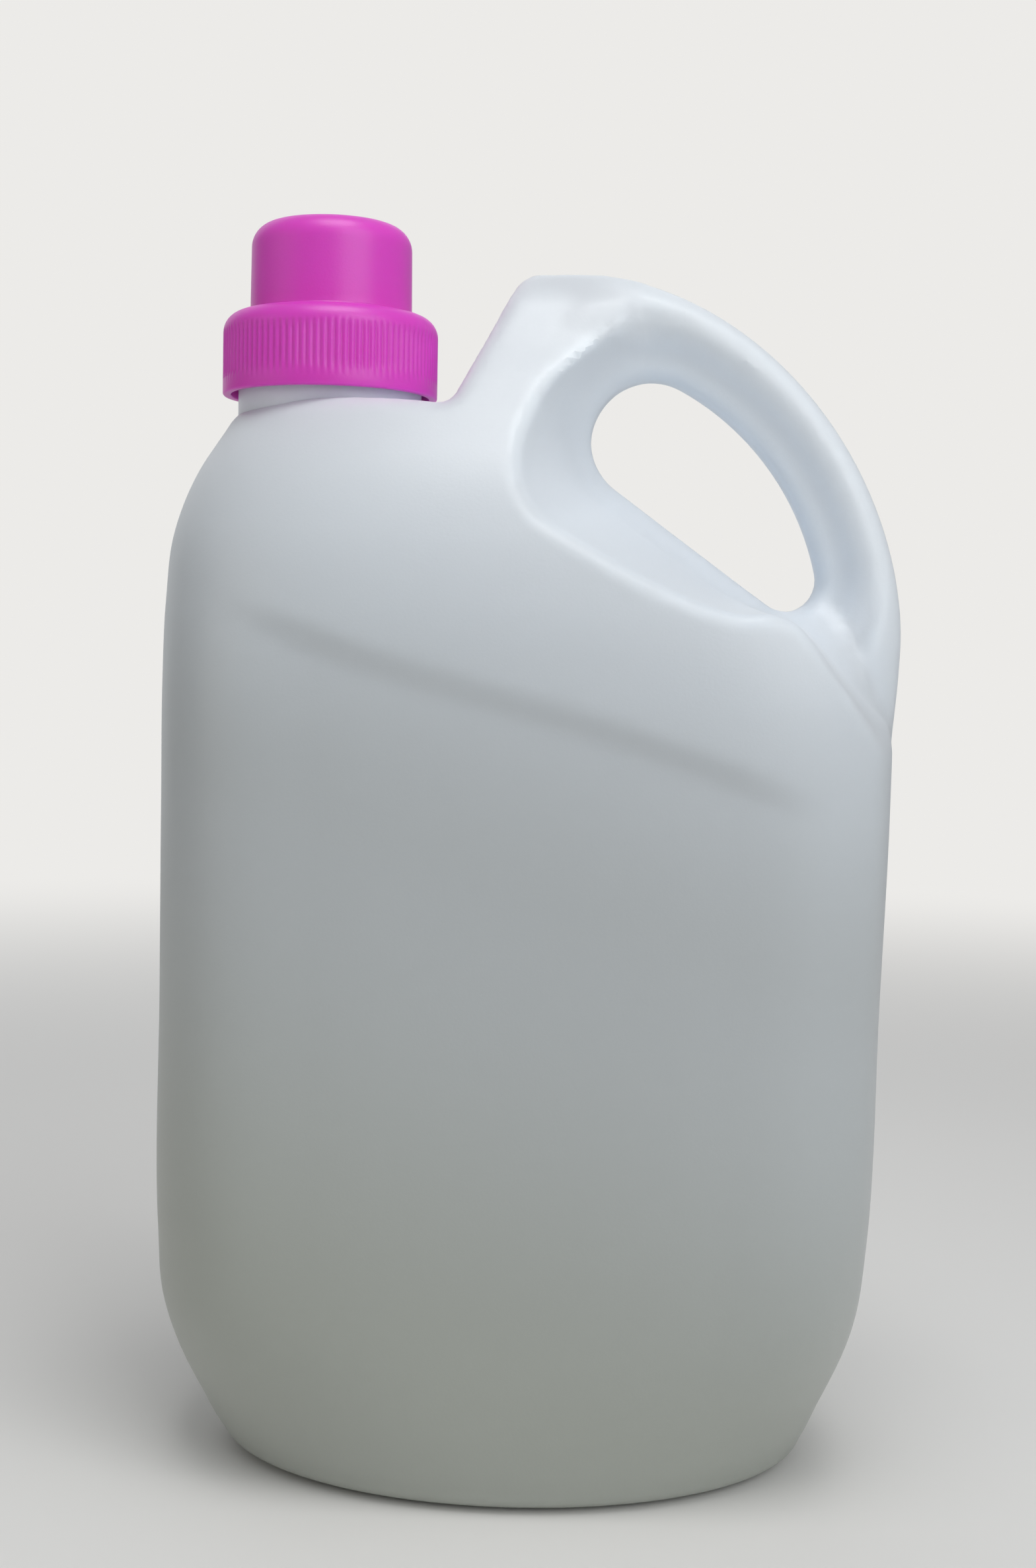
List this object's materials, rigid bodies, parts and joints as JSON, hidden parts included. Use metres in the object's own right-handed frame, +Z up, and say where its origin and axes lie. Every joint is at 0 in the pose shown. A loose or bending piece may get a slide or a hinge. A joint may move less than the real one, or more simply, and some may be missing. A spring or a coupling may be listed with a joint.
{
  "type": "plastic jug",
  "caption": "Blow-moulded plastic jug for liquids, with a moulded side handle, a finger hole, a pour spout in the neck and a ribbed screw cap that doubles as a dosing cup.",
  "frame": {"origin": "centre of the bounding box on the surface that the jug stands on", "axes": "+Z up through the cap, +X towards the handle, -Y towards the front label panel"},
  "size_m": [0.1884, 0.1156, 0.3104],
  "materials": {
    "bottle": "satin, natural translucent polyethylene",
    "pour_spout": "satin, natural polyethylene",
    "seal_ring": "soft foam",
    "dosing_cap": "satin, slightly translucent polypropylene"
  },
  "bodies": {
    "jug": {"bottle": "bottle", "shoulder": "bottle", "handle_root": "bottle", "handle": "bottle", "neck": "bottle", "pour_spout": "pour_spout", "spout_collar": "pour_spout"},
    "seal": {"seal_ring": "seal_ring"},
    "cap": {"dosing_cap": "dosing_cap", "cap_skirt": "dosing_cap", "cup_rim": "dosing_cap"}
  },
  "joints": [
    {"name": "cap_lift", "type": "slide", "parent": "jug", "child": "seal", "axis": [0, 0, 1], "range_m": [0, 0.06]},
    {"name": "cap_turn", "type": "hinge", "parent": "seal", "child": "cap", "pos_m": [-0.0515, 0, 0.28], "axis": [0, 0, 1], "range_deg": [0, 540]}
  ]
}
